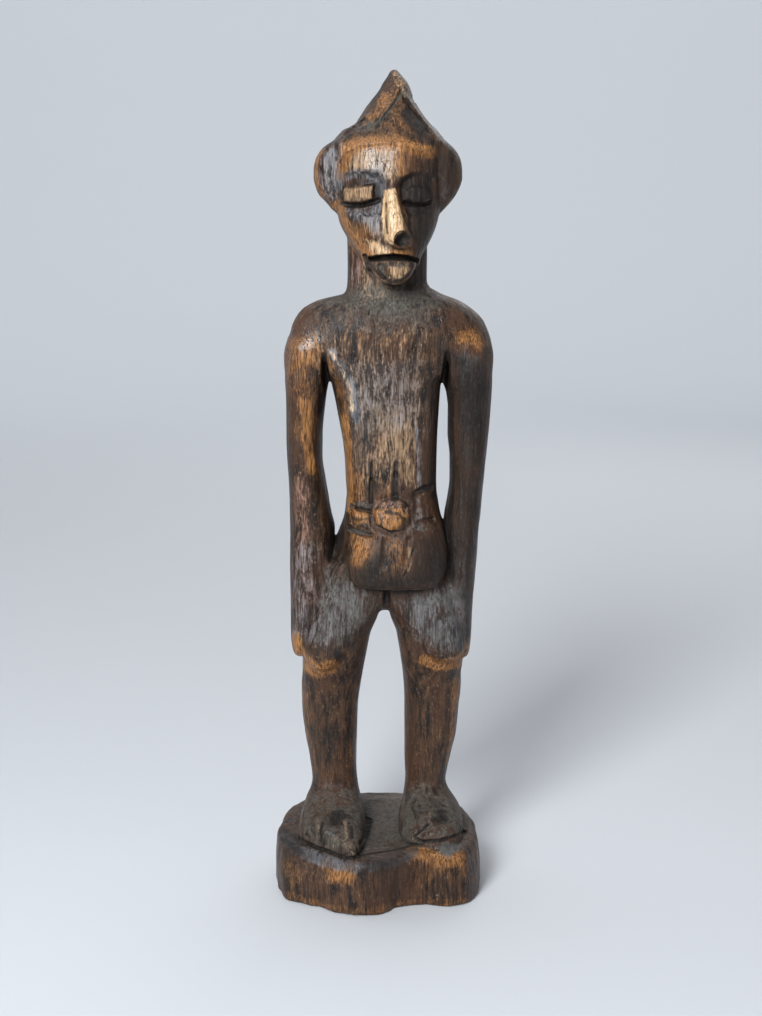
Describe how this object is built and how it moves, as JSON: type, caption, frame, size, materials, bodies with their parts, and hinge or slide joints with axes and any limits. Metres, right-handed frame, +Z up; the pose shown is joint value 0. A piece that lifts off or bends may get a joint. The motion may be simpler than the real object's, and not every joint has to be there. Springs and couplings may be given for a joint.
{
  "type": "carved wooden standing figure",
  "caption": "Standing figure carved from one wood billet on a round pedestal: pointed coiffure, arms at the sides, swelling belly, bent legs.",
  "frame": {"origin": "middle of the width of the flat underside of the pedestal, under the standing axis of the figure", "axes": "+Z up along the billet and the wood grain; the figure faces -Y; its own left hand is towards +X"},
  "size_m": [0.0626, 0.0548, 0.23],
  "materials": {
    "figure_wood": "dark brown-black oiled hardwood, hand-rubbed, worn to orange-brown on high spots, grey dust in the hollows",
    "pedestal_wood": "dark brown hardwood with open upright grain and orange-brown worn edges"
  },
  "bodies": {
    "root": {"pedestal": "pedestal_wood", "right_foot": "figure_wood", "left_foot": "figure_wood", "right_leg": "figure_wood", "left_leg": "figure_wood", "hips": "figure_wood", "abdomen": "figure_wood", "chest": "figure_wood", "right_arm": "figure_wood", "left_arm": "figure_wood", "neck": "figure_wood", "head": "figure_wood", "right_ear_lobe": "figure_wood", "left_ear_lobe": "figure_wood", "coiffure_crest": "figure_wood"}
  },
  "joints": []
}
